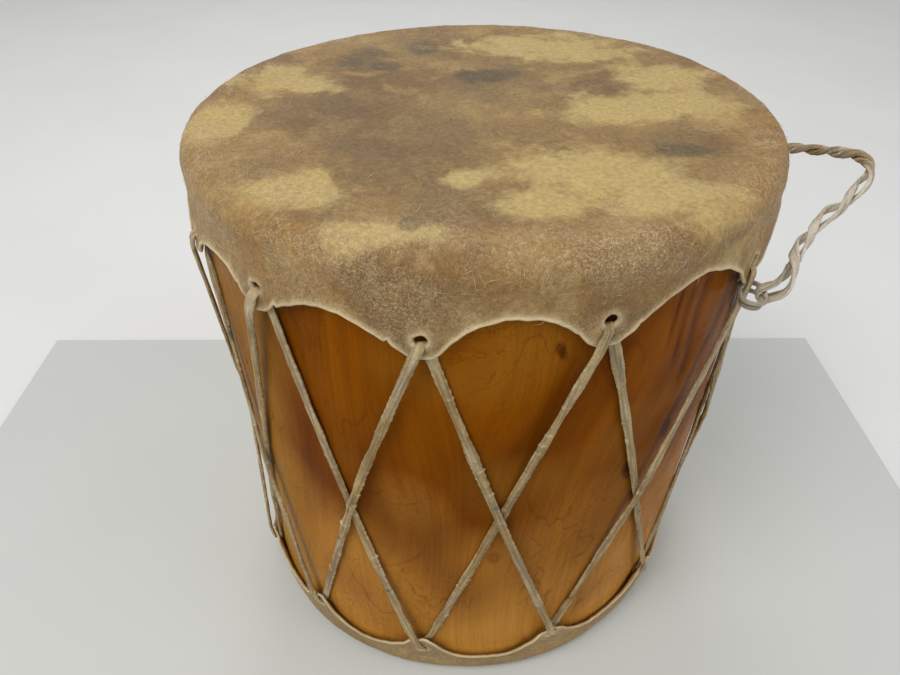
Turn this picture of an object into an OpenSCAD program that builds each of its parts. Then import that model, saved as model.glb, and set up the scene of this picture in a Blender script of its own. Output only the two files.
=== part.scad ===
// Tall two-headed log drum: a hollow log shell, two rawhide heads folded over its rims,
// two rawhide laces that zigzag between them, and a twisted rawhide carrying loop.
// The drum stands on its lower head. Origin: centre of the foot. +Z up, X along the
// longer diameter, the front faces -Y. Angles run from the front towards +X.

/* [Shell] */
// Longer outside diameter of the log shell
shell_length = 295; // [200:1:400]
// Shorter outside diameter of the log shell
shell_width = 276; // [190:1:390]
// Height of the log shell
shell_height = 321; // [200:1:450]
// Wall thickness, the same all round
shell_wall = 15; // [10:0.5:25]
// Rounding of the two outer rims
rim_round = 8; // [3:0.5:9]

/* [Heads] */
// Thickness of the rawhide
hide = 2.2; // [1.2:0.1:3]
// Depth of an ear's tip below the face of its head
ear_depth = 45; // [42:1:60]
// Depth of a lacing hole below the face
hole_depth = 35; // [32:0.5:37]
// Diameter of a lacing hole
hole_d = 7; // [5.5:0.5:8]
// Width of an ear at its tip
ear_width = 11; // [8:0.5:14]
// How far an ear's tip stands off the shell, with room for a lace behind it
ear_lift = 2.8; // [2.4:0.1:4]

/* [Lacing] */
// Number of lacing holes in each head
columns = 12; // [8:2:16]
// Width of a lace
lace_width = 5; // [3:0.5:6]
// Thickness of a lace
lace_thick = 2.2; // [1.4:0.1:2.4]

/* [Carrying loop] */
// Diameter of one strand of the twisted loop
strand_d = 3.4; // [2.5:0.1:4]
// Diameter of the thong of a tie
tie_d = 2.4; // [1.6:0.1:3]
// How far the loop reaches from the line through its two ties
loop_reach = 59; // [40:1:80]
// How far the loop stands above the horizontal, in degrees
loop_rise = 32; // [0:1:36]
// Full turns of twist along the loop
loop_turns = 5; // [2:1:8]

/* [Hidden] */
$fn = 96;

gap = 0.2;              // between the hide and the wood
clear = 0.35;           // between a lace and whatever it passes
face_cut = 5;           // how far a cutter runs past what it cuts
stretch = (shell_length - shell_width) / 2;
mean_r = (shell_length + shell_width) / 4;
total_height = shell_height + 2 * (gap + hide);
flare_depth = 20;       // depth where the skirt starts to lift off the shell

// The holes were punched by eye, so each one strays a little from an even spacing.
spacing = 360 / columns;
turn = 2;               // the pattern's turn about the drum's axis, in degrees
upper_stray = [7, 2.5, 2, -1.5, 0, 0, 0, -1, 1, 0, -1.5, 2];
lower_stray = [6, 1.5, 1, 0.5, 0, 0, 0, 1, 0.5, -1, -1, 1.5];
upper_drop = [0, -1.5, 2, -3.5, 0.5, 0, 1, -1, 1.5, 0, -1, 0.5];
lower_drop = [0, 1, -1.5, 5.5, -2, 0, 1, -1, 0, 1.5, -1, 0];
// Depth of the skirt at the middle of each scallop, between a hole and the next one
upper_scallop = [28, 28, 24, 22, 25, 26, 24, 27, 25, 24, 26, 27];
lower_scallop = [24, 23, 22, 24, 25, 23, 22, 24, 25, 23, 24, 22];

wood = "#a8611c";
rawhide = "#9c8a66";
thong = "#b0a07c";

// The drum's plan is an oval of four arcs. Their centres stand on the two axes, and a
// line through two neighbours, 3:4 steep, is where their arcs meet. An angle is that of
// the outward direction, from the front towards +X.
meet = atan(3 / 4);
function at_end(angle) = abs(sin(angle)) > sin(meet);
function arc_centre(angle) =
    at_end(angle) ? [sign(sin(angle)) * 1.5 * stretch, 0, 0] : [0, sign(cos(angle)) * 2 * stretch, 0];
function arc_r(angle) =
    at_end(angle) ? shell_length / 2 - 1.5 * stretch : shell_width / 2 + 2 * stretch;
function at(angle, off, z) =
    arc_centre(angle) + (arc_r(angle) + off) * [sin(angle), -cos(angle), 0] + [0, 0, z];
function degrees_of(side_step, angle) = side_step / arc_r(angle) * 180 / PI;

// What is drawn at the drum's side, facing outwards along -Y, put at an angle.
module beside(angle) {
    translate(at(angle, 0, 0)) rotate([0, 0, angle]) children();
}

function unit(v) = v / norm(v);
function flat(v, along) = unit(v - (v * along) * along);

// The hole of a column: its angle, and its depth below the face of its own head.
function stray(i, upper) = upper ? upper_stray[i % 12] : lower_stray[i % 12];
function drop(i, upper) = upper ? upper_drop[i % 12] : lower_drop[i % 12];
function hole_angle(i, upper) = (i - columns / 4) * spacing + turn + stray(i, upper);
function from_face(depth, upper) = upper ? total_height - depth : depth;

// The space between the shell and the inside of the skirt at a depth below the face.
function skirt_space(depth) =
    gap + (ear_lift - gap) * max(0, depth - flare_depth) / (ear_depth - flare_depth);

module shell() {
    color(wood)
        translate([0, 0, gap + hide])
            difference() {
                oval_of() log_outline();
                oval_of() bore_outline();
            }
}

// A section carried round the oval. It is drawn with the outside of the shell at x = 0.
module oval_of() {
    for (middle = [0 : 90 : 270])
        intersection() {
            translate(arc_centre(middle))
                rotate_extrude()
                    intersection() {
                        translate([arc_r(middle), 0]) children();
                        translate([0, -total_height])
                            square([2 * shell_length, 3 * total_height]);
                    }
            translate(arc_centre(middle) - [0, 0, total_height])
                linear_extrude(3 * total_height) fan(middle);
        }
}

// The side of an arc's centre that its arc is on.
module fan(middle) {
    slope = (at_end(middle) ? [0.6, 0.8] : [0.8, 0.6]) * 3 * shell_length;
    out = [round(sin(middle)), -round(cos(middle))];
    aside = [-out[1], out[0]];
    polygon([[0, 0], out * slope[0] + aside * slope[1], out * slope[0] - aside * slope[1]]);
}

module log_outline() {
    difference() {
        translate([-shell_length, 0]) square([shell_length, shell_height]);
        translate([0, shell_height]) corner_cut(rim_round);
        mirror([0, 1]) corner_cut(rim_round);
    }
}

module bore_outline() {
    translate([-shell_length - shell_wall, -face_cut])
        square([shell_length, shell_height + 2 * face_cut]);
}

// What a round of this radius takes off an outer corner that is at the origin.
module corner_cut(radius) {
    difference() {
        translate([-radius, -radius]) square(radius + face_cut);
        translate([-radius, -radius]) circle(r = radius);
    }
}

// A head, with the centre of its face at the origin and its skirt hanging below.
module head(strays, drops, scallops) {
    color(rawhide)
        difference() {
            oval_of() head_section();
            for (i = [0 : columns - 1]) {
                here = (i - columns / 4) * spacing + turn + strays[i % 12];
                half = (spacing + strays[(i + 1) % 12] - strays[i % 12]) / 2;
                beside(here) lacing_hole(hole_depth + drops[i % 12]);
                beside(here + half) scallop(half, scallops[i % 12]);
            }
        }
}

// Half of a head's section: the outline of its outside, less that of its inside.
module head_section() {
    difference() {
        head_outline(gap + hide, rim_round + gap + hide, 0, ear_depth);
        head_outline(gap, rim_round + gap, hide, ear_depth + face_cut);
    }
}

module head_outline(off, bend, top, end) {
    lift = (ear_lift - gap) * (end - flare_depth) / (ear_depth - flare_depth);
    middle = -shell_length;
    difference() {
        polygon([
            [middle, -top], [off, -top], [off, -flare_depth],
            [off + lift, -end], [middle, -end]
        ]);
        translate([off, -top]) corner_cut(bend);
    }
}

module lacing_hole(depth) {
    translate([0, face_cut, -depth])
        rotate([90, 0, 0])
            cylinder(d = hole_d, h = 4 * face_cut);
}

// The arch cut between two ears, as a circle that meets both ears at their tips.
module scallop(half, depth) {
    half_width = mean_r * half * PI / 180 - ear_width / 2;
    rise = ear_depth - depth;
    radius = (half_width ^ 2 + rise ^ 2) / (2 * rise);
    translate([0, mean_r / 2, -depth - radius])
        rotate([90, 0, 0])
            cylinder(r = radius, h = mean_r);
}

module upper_head() {
    translate([0, 0, total_height]) head(upper_stray, upper_drop, upper_scallop);
}

module lower_head() {
    mirror([0, 0, 1]) head(lower_stray, lower_drop, lower_scallop);
}

// Distances of a lace's centre from the shell.
on_shell = clear + lace_thick / 2;
over_lace = on_shell + lace_thick + 3 * clear;
thin = 1.2;             // thickness of a lace where an ear presses it flat
behind = clear + thin / 2;
function over_skirt(depth) = skirt_space(depth) + hide + clear + lace_thick / 2;

// A lace's stop at a hole: steps to the side, along the depth and out from the shell,
// with the lace's thickness. It comes up over the ear, goes in, and leaves behind it.
lean = 0.34;            // sideways for each step along the depth, as on the long runs
function past_ear(depth) = ear_depth + 1 - depth;
function stop_in(depth) = let (past = past_ear(depth)) [
    [-lean * past, past, over_skirt(ear_depth), lace_thick],
    [-lean * 7, 7, over_skirt(depth + 7), lace_thick],
    [-1.5, 3.8, over_skirt(depth + 3.8), lace_thick],
    [-0.9, 1.3, over_skirt(depth) - 0.6, 1.8],
    [-0.3, 0.1, skirt_space(depth) + 1.5, 1.4],
    [0.3, 0.6, behind + 0.9, thin],
    [0.9, 2.4, behind + 0.15, thin],
    [1.8, 5, behind, thin],
    [2.8, 8.2, behind + 0.1, 1.4],
    [lean * past + 0.6, past + 0.8, on_shell, lace_thick]
];

// Distance from the axis of a straight line from one point to another, seen from above,
// and of a taut line that leaves the shell for a point: both after a turn from the point.
function chord_r(r1, r2, span, a) = r1 * r2 * sin(span) / (r1 * sin(a) + r2 * sin(span - a));
function taut_r(r, lie, a) = a < acos(lie / r) ? lie / cos(acos(lie / r) - a) : lie;

// A run of lace between two stops: it lies on the shell, lifted where it must climb
// over the next skirt, and half-way where it crosses a lace that lies under it.
run_rings = 7;
function run(from, to, middle_off) =
    let (
        span = to[0] - from[0], lie = mean_r + on_shell,
        middle = mean_r + middle_off, end = mean_r + to[2]
    ) [
        for (k = [1 : run_rings])
            let (
                share = k / (run_rings + 1), a = span * share,
                rest = span - a, half = span / 2,
                crossing = taut_r(middle, lie, abs(a - half)),
                climb = a < half ? lie : chord_r(middle, end, half, a - half)
            )
            [
                from[0] + a, from[1] + (to[1] - from[1]) * share,
                max(lie, crossing, climb, taut_r(end, lie, rest)) - mean_r,
                lace_thick
            ]
    ];

// Where a lace stops at a column, as angle, height, distance from the shell, thickness.
function stop(i, upper) =
    let (depth = hole_depth + drop(i, upper), here = hole_angle(i, upper))
    [
        for (s = stop_in(depth))
            [here + degrees_of(s[0], here), from_face(depth + s[1], upper), s[2], s[3]]
    ];

function lace_route(first_upper, middle_off) = [
    for (i = [0 : columns - 1])
        let (
            upper = (i + first_upper) % 2 == 0,
            here = stop(i, upper), next = stop(i + 1, !upper)
        )
        each concat(here, run(here[len(here) - 1], next[0], middle_off))
];

// A lace as a closed band: each ring is a flat oval across the route.
sides = 8;
module lace(route) {
    n = len(route);
    centre = [for (p = route) at(p[0], p[2], p[1])];
    points = [
        for (i = [0 : n - 1])
            let (
                along = unit(centre[(i + 1) % n] - centre[(i + n - 1) % n]),
                across = flat([cos(route[i][0]), sin(route[i][0]), 0], along),
                out = cross(along, across)
            )
            for (k = [0 : sides - 1])
                centre[i] + across * lace_width / 2 * cos(k * 360 / sides)
                    + out * route[i][3] / 2 * sin(k * 360 / sides)
    ];
    faces = [
        for (i = [0 : n - 1], k = [0 : sides - 1])
            let (j = (i + 1) % n, m = (k + 1) % sides)
            each [
                [i * sides + k, j * sides + k, i * sides + m],
                [i * sides + m, j * sides + k, j * sides + m]
            ]
    ];
    color(thong) polyhedron(points, faces);
}

module first_lace() {
    lace(lace_route(1, on_shell));
}

module second_lace() {
    lace(lace_route(0, over_lace));
}

// Each tie is a thong link round the lace that climbs over an ear, just below the ear.
// The front bars of the two links lie on one line, and the carrying loop turns on them.
near_column = 4;
far_column = 6;
tie_depth = ear_depth + tie_d / 2 + 1;
near_bar = 6;           // straight part of each link's bars
far_bar = 8;            // longer, as both ends of the loop's thong go round the front one
near_aside = -2.5;      // from the held lace to the middle of each link, along its bars
far_aside = 4.3;
tie_back = 3.3;         // from the middle of the held lace back to the rear bar
pressed = 0.3;          // how much nearer the skirt a tie pulls its lace
eye_r = tie_d / 2 + clear + strand_d / 2;
tie_span = tie_back + lace_thick + clear + eye_r + strand_d / 2;

function held_lace(i) =
    let (
        depth = hole_depth + drop(i, true),
        here = hole_angle(i, true),
        slip = lean * (tie_depth - depth)
    )
    at(here - degrees_of(slip, here), over_skirt(ear_depth) - pressed, total_height - tie_depth);

lace_near = held_lace(near_column);
lace_far = held_lace(far_column);
line = unit(lace_far - lace_near);
outward = [line[1], -line[0], 0];
pin_near = lace_near + line * near_aside + outward * (tie_span - tie_back);
pin_far = lace_far + line * far_aside + outward * (tie_span - tie_back);

// A link, drawn with its front bar along X at the origin and its rear bar behind it.
module link(bar) {
    for (y = [0, tie_span])
        translate([-bar / 2, y, 0])
            rotate([0, 90, 0])
                cylinder(d = tie_d, h = bar);
    for (side = [-1, 1])
        translate([side * bar / 2, tie_span / 2, 0])
            rotate([0, 0, -side * 90])
                rotate_extrude(angle = 180)
                    translate([tie_span / 2, 0]) circle(d = tie_d);
}

module tie(pin, bar) {
    color(thong)
        translate(pin)
            rotate([0, 0, atan2(line[1], line[0])])
                link(bar);
}

module near_tie() {
    tie(pin_near, near_bar);
}

module far_tie() {
    tie(pin_far, far_bar);
}

// The loop's middle line, as shares of the distance between the pins and of its reach.
loop_shape = [
    [0, 0], [0.012, 0.11], [0.06, 0.2], [0.14, 0.27], [0.22, 0.38], [0.3, 0.55],
    [0.36, 0.75], [0.43, 0.91], [0.5, 0.99], [0.57, 1], [0.64, 0.93], [0.71, 0.79],
    [0.79, 0.63], [0.87, 0.44], [0.94, 0.25], [0.988, 0.11], [1, 0]
];
steps_a_span = 4;
loop_up = outward * cos(loop_rise) + [0, 0, sin(loop_rise)];
loop_side = cross(line, loop_up);

function spline(a, b, c, d, t) =
    b + (c - a) * t / 2 + (a - 2.5 * b + 2 * c - d / 2) * t ^ 2
    + (-a / 2 + 1.5 * b - 1.5 * c + d / 2) * t ^ 3;
function loop_middle() =
    let (n = len(loop_shape) - 1)
    [
        for (i = [0 : n - 1], k = [0 : steps_a_span - 1])
            spline(loop_shape[max(i - 1, 0)], loop_shape[i], loop_shape[i + 1],
                loop_shape[min(i + 2, n)], k / steps_a_span),
        loop_shape[n]
    ];
function in_loop(p) =
    pin_near + line * p[0] * norm(pin_far - pin_near) + loop_up * p[1] * loop_reach;

// One of the two strands: it leaves the eye on one side and winds round the middle line.
pair_r = strand_d / 2 + 0.15;
eye_share = 3;          // points of the middle line that the eyes take up at each end
function strand(sign) =
    let (middle = [for (p = loop_middle()) in_loop(p)], n = len(middle))
    [
        for (i = [eye_share : n - 1 - eye_share])
            let (
                share = (i - eye_share) / (n - 1 - 2 * eye_share),
                along = unit(middle[i + 1] - middle[i - 1]),
                inward = cross(loop_side, along),
                turned = 360 * loop_turns * share,
                near_end = min(share, 1 - share) * 8,
                r = near_end < 1 ? eye_r + (pair_r - eye_r) * near_end : pair_r
            )
            middle[i] + sign * r * (loop_side * cos(turned) + inward * sin(turned))
    ];

// The part of an eye round a pin, from one side of the loop to the other.
function eye(pin, shift, from, to, n) = [
    for (k = [0 : n])
        let (a = from + (to - from) * k / n)
        pin + line * shift + eye_r * (loop_side * cos(a) + loop_up * sin(a))
];

// One thong doubled: both ends are wound round the far pin, and the fold is round the
// near pin.
function reversed(list) = [for (i = [len(list) - 1 : -1 : 0]) list[i]];
end_shift = strand_d / 2 + 0.2;
fold_shift = 1.2;       // along the near bar, towards the far one
function thong_route() = concat(
    eye(pin_far, -end_shift, -265, 0, 12),
    reversed(strand(1)),
    eye(pin_near, fold_shift, 0, -180, 8),
    strand(-1),
    eye(pin_far, end_shift, -180, 85, 12)
);

// A round thong along an open route, with its sides carried along without twisting.
module round_thong(route, d) {
    n = len(route);
    along = [
        for (i = [0 : n - 1]) unit(route[min(i + 1, n - 1)] - route[max(i - 1, 0)])
    ];
    side = [
        for (i = 0, s = flat(line, along[0]); i < n; i = i + 1,
            s = i < n ? flat(s, along[i]) : s) s
    ];
    points = [
        for (i = [0 : n - 1], k = [0 : sides - 1])
            route[i] + d / 2 * (side[i] * cos(k * 360 / sides)
                + cross(along[i], side[i]) * sin(k * 360 / sides))
    ];
    faces = concat(
        [[for (k = [0 : sides - 1]) k]],
        [
            for (i = [0 : n - 2], k = [0 : sides - 1])
                let (m = (k + 1) % sides)
                each [
                    [i * sides + k, (i + 1) * sides + k, i * sides + m],
                    [i * sides + m, (i + 1) * sides + k, (i + 1) * sides + m]
                ]
        ],
        [[for (k = [sides - 1 : -1 : 0]) (n - 1) * sides + k]]
    );
    color(thong) polyhedron(points, faces);
}

module carrying_loop() {
    round_thong(thong_route(), strand_d);
}

shell();
upper_head();
lower_head();
first_lace();
second_lace();
near_tie();
far_tie();
carrying_loop();
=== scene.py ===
import math

import bpy
import numpy as np
from mathutils import Matrix, Vector


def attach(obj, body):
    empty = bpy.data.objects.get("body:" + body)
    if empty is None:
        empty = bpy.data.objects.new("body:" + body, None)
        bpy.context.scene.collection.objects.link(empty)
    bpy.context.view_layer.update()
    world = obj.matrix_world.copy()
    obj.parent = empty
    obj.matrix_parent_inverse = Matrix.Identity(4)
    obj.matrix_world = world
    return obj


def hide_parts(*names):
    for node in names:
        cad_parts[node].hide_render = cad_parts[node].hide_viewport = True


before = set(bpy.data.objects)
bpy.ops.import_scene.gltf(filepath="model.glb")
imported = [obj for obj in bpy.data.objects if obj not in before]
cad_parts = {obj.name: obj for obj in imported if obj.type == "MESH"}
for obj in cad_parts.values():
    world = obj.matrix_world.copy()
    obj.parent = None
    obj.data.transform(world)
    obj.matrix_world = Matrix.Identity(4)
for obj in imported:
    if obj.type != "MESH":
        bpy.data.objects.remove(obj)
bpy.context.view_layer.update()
print("frame loaded")


# Everything is worked out in millimetres and written to the meshes in metres.
drum = {
    "length": 295.0,
    "width": 276.0,
    "total": 325.8,
    "wall": 15.0,
    "rimRound": 8.0,
    "hide": 2.2,
    "gap": 0.2,
    "clear": 0.35,
    "columns": 12,
    "turn": 2.0,
    "holeDepth": 35.0,
    "earDepth": 45.0,
    "earWidth": 11.0,
    "earLift": 2.8,
    "flareDepth": 20.0,
    "laceWidth": 5.0,
    "laceThick": 2.2,
    "upperStray": [7, 2.5, 2, -1.5, 0, 0, 0, -1, 1, 0, -1.5, 2],
    "lowerStray": [6, 1.5, 1, 0.5, 0, 0, 0, 1, 0.5, -1, -1, 1.5],
    "upperDrop": [0, -1.5, 2, -3.5, 0.5, 0, 1, -1, 1.5, 0, -1, 0.5],
    "lowerDrop": [0, 1, -1.5, 5.5, -2, 0, 1, -1, 0, 1.5, -1, 0],
    "upperScallop": [28, 28, 24, 22, 25, 26, 24, 27, 25, 24, 26, 27],
    "lowerScallop": [24, 23, 22, 24, 25, 23, 22, 24, 25, 23, 24, 22],
}
stretch = (drum["length"] - drum["width"]) / 2
meanRadius = (drum["length"] + drum["width"]) / 4
outerSkin = drum["gap"] + drum["hide"]


def placed(angle, off, z):
    # The oval is four arcs. Two wide ones face the Y ends and two tight ones the X ends.
    # A point is the arc's centre plus (radius + off) along the outward direction.
    angle, off, z = np.broadcast_arrays(np.radians(angle), off, z)
    sine, cosine = np.sin(angle), np.cos(angle)
    atEnd = np.abs(sine) > 0.6
    centreX = np.where(atEnd, np.sign(sine) * 1.5 * stretch, 0.0)
    centreY = np.where(atEnd, 0.0, np.sign(cosine) * 2 * stretch)
    radius = np.where(
        atEnd, drum["length"] / 2 - 1.5 * stretch, drum["width"] / 2 + 2 * stretch
    )
    return np.stack(
        [centreX + (radius + off) * sine, centreY - (radius + off) * cosine, z], -1
    )


def arcRadius(angle):
    atEnd = np.abs(np.sin(np.radians(angle))) > 0.6
    return np.where(
        atEnd, drum["length"] / 2 - 1.5 * stretch, drum["width"] / 2 + 2 * stretch
    )


def holeAngle(i, upper):
    stray = drum["upperStray" if upper else "lowerStray"]
    turns, column = divmod(i, drum["columns"])
    return (
        (column - 3) * 30.0 + drum["turn"] + stray[column] + 360.0 * turns
    )


def holeDepth(i, upper):
    return drum["holeDepth"] + drum["upperDrop" if upper else "lowerDrop"][i % 12]


def skirtSpace(depth):
    past = np.maximum(0, depth - drum["flareDepth"])
    reach = drum["earDepth"] - drum["flareDepth"]
    return drum["gap"] + (drum["earLift"] - drum["gap"]) * past / reach


def wobble(points, size, seed, waves=22):
    # A smooth random field: the sum of plane waves of about one size, in every direction.
    random = np.random.default_rng(seed)
    way = random.normal(size=(3, waves))
    way /= np.linalg.norm(way, axis=0)
    way *= 2 * math.pi / size * random.uniform(0.6, 1.5, waves)
    phase = random.uniform(0, 2 * math.pi, waves)
    return np.sin(points @ way + phase).sum(-1) / math.sqrt(waves / 2)


def unit(v):
    return v / np.maximum(np.linalg.norm(v, axis=-1, keepdims=True), 1e-9)


def makePiece(name, points, faces, material, attributes=None):
    mesh = bpy.data.meshes.new(name)
    mesh.from_pydata((points * 0.001).tolist(), [], faces)
    for key, values in (attributes or {}).items():
        layer = mesh.attributes.new(key, "FLOAT", "POINT")
        layer.data.foreach_set("value", np.asarray(values, np.float32).ravel())
    mesh.validate()
    mesh.polygons.foreach_set("use_smooth", [True] * len(mesh.polygons))
    mesh.materials.append(material)
    piece = bpy.data.objects.new(name, mesh)
    bpy.context.scene.collection.objects.link(piece)
    print(name, len(mesh.vertices), "vertices")
    return piece


def gridFaces(rows, columns, closedRows=False):
    # Quads of a grid that closes round its columns, and round its rows if asked.
    index = np.arange(rows * columns).reshape(rows, columns)
    a = index if closedRows else index[:-1]
    d = np.roll(index, -1, 0) if closedRows else index[1:]
    quads = np.stack([a, np.roll(a, -1, 1), np.roll(d, -1, 1), d], -1)
    return quads.reshape(-1, 4)


def addNode(tree, kind, inputs=None, **settings):
    made = tree.nodes.new("ShaderNode" + kind)
    for name, value in settings.items():
        setattr(made, name, value)
    for name, value in (inputs or {}).items():
        if isinstance(value, bpy.types.NodeSocket):
            tree.links.new(value, made.inputs[name])
        else:
            made.inputs[name].default_value = value
    return made


def maths(tree, operation, *values, clamp=False):
    inputs = dict(enumerate(values))
    return addNode(tree, "Math", inputs, operation=operation, use_clamp=clamp).outputs[0]


def stretched(tree, value, low, high, start=0.0, end=1.0):
    inputs = {"Value": value, "From Min": low, "From Max": high, "To Min": start, "To Max": end}
    made = addNode(tree, "MapRange", inputs, interpolation_type="SMOOTHSTEP")
    return made.outputs[0]


def mixed(tree, factor, a, b, blend="MIX"):
    made = addNode(tree, "Mix", {0: factor, 6: a, 7: b}, data_type="RGBA", blend_type=blend)
    return made.outputs[2]


def noise(tree, vector, scale, detail=3.0, roughness=0.5, distortion=0.0):
    inputs = {
        "Vector": vector,
        "Scale": scale,
        "Detail": detail,
        "Roughness": roughness,
        "Distortion": distortion,
    }
    return addNode(tree, "TexNoise", inputs).outputs["Fac"]


def scaled(tree, vector, scale, turn=(0, 0, 0), place=(0, 0, 0)):
    inputs = {"Vector": vector, "Scale": scale, "Rotation": turn, "Location": place}
    return addNode(tree, "Mapping", inputs).outputs[0]


def attribute(tree, name):
    return addNode(tree, "Attribute", attribute_name=name).outputs["Fac"]


def makeGroup(name, inputs):
    tree = bpy.data.node_groups.new(name, "ShaderNodeTree")
    for label, kind in inputs.items():
        tree.interface.new_socket(label, in_out="INPUT", socket_type="NodeSocket" + kind)
    tree.interface.new_socket("Value", in_out="OUTPUT", socket_type="NodeSocketFloat")
    return tree, tree.nodes.new("NodeGroupInput").outputs


def endGroup(tree, value):
    tree.links.new(value, tree.nodes.new("NodeGroupOutput").inputs[0])
    return tree


def useGroup(tree, group, inputs):
    made = addNode(tree, "Group", node_tree=group)
    for name, value in inputs.items():
        if isinstance(value, bpy.types.NodeSocket):
            tree.links.new(value, made.inputs[name])
        else:
            made.inputs[name].default_value = value
    return made.outputs[0]


# A ragged oval patch: 1 inside, 0 outside, with its edge moved about by noise.
stainTree, stainIn = makeGroup(
    "stain", {"Vector": "Vector", "Centre": "Vector", "Size": "Vector", "Ragged": "Float"}
)
away = addNode(
    stainTree, "VectorMath", {0: stainIn["Vector"], 1: stainIn["Centre"]}, operation="SUBTRACT"
).outputs[0]
share = addNode(
    stainTree, "VectorMath", {0: away, 1: stainIn["Size"]}, operation="DIVIDE"
).outputs[0]
reach = addNode(stainTree, "VectorMath", {0: share}, operation="LENGTH").outputs["Value"]
rough = maths(stainTree, "SUBTRACT", noise(stainTree, stainIn["Vector"], 38, 6, 0.62, 0.6), 0.5)
reach = maths(stainTree, "MULTIPLY_ADD", rough, stainIn["Ragged"], reach)
stain = endGroup(stainTree, stretched(stainTree, reach, 1.3, 0.6))

# Fine pale fibres that lie every way: the thin bright threads of three stretched noises.
fibreTree, fibreIn = makeGroup("fibres", {"Vector": "Vector", "Scale": "Float"})
threads = None
for turn in (0.3, 1.35, 2.4):
    bent = scaled(fibreTree, fibreIn["Vector"], (1, 0.16, 1), (turn * 0.7, turn, turn * 1.3))
    field = noise(fibreTree, bent, fibreIn["Scale"], 2, 0.5, 0.9)
    thread = stretched(fibreTree, field, 0.6, 0.68)
    threads = thread if threads is None else maths(fibreTree, "MAXIMUM", threads, thread)
fibres = endGroup(fibreTree, threads)

# Contour lines of a noise, as growth lines and swirls show on a sawn or peeled log.
contourTree, contourIn = makeGroup("contours", {"Vector": "Vector", "Count": "Float"})
field = noise(contourTree, contourIn["Vector"], 1.0, 2.5, 0.5, 0.5)
step = maths(contourTree, "PINGPONG", maths(contourTree, "MULTIPLY", field, contourIn["Count"]), 1.0)
contours = endGroup(contourTree, stretched(contourTree, step, 0.09, 0.0))


def startMaterial(name):
    made = bpy.data.materials.new(name)
    made.use_nodes = True
    tree = made.node_tree
    tree.nodes.clear()
    place = addNode(tree, "TexCoord").outputs["Object"]
    return made, tree, place


def endMaterial(tree, colour, roughness, height, depth, **more):
    inputs = {"Base Color": colour, "Roughness": roughness}
    for label, value in more.items():
        inputs[label.replace("_", " ")] = value
    if height is not None:
        bump = addNode(tree, "Bump", {"Height": height, "Strength": 1.0, "Distance": depth})
        inputs["Normal"] = bump.outputs[0]
    shader = addNode(tree, "BsdfPrincipled", inputs)
    end = tree.nodes.new("ShaderNodeOutputMaterial")
    tree.links.new(shader.outputs[0], end.inputs[0])


def rgb(r, g, b):
    # Screen colour, 0 to 255, to the linear light that a shader works in.
    return tuple((v / 255) ** 2.2 for v in (r, g, b))


def rgba(r, g, b):
    return (*rgb(r, g, b), 1)


woodLook = {
    "amber": rgba(134, 76, 0),
    "deep": rgba(100, 52, 0),
    "pale": rgba(208, 146, 66),
    # painted sheen: the paler pinkish tone of the varnish's sheen on the left side
    "paintedSheen": rgba(158, 112, 44),
    "line": rgba(80, 40, 2),
    "knot": rgba(52, 18, 2),
    "ior": 1.08,
}


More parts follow.
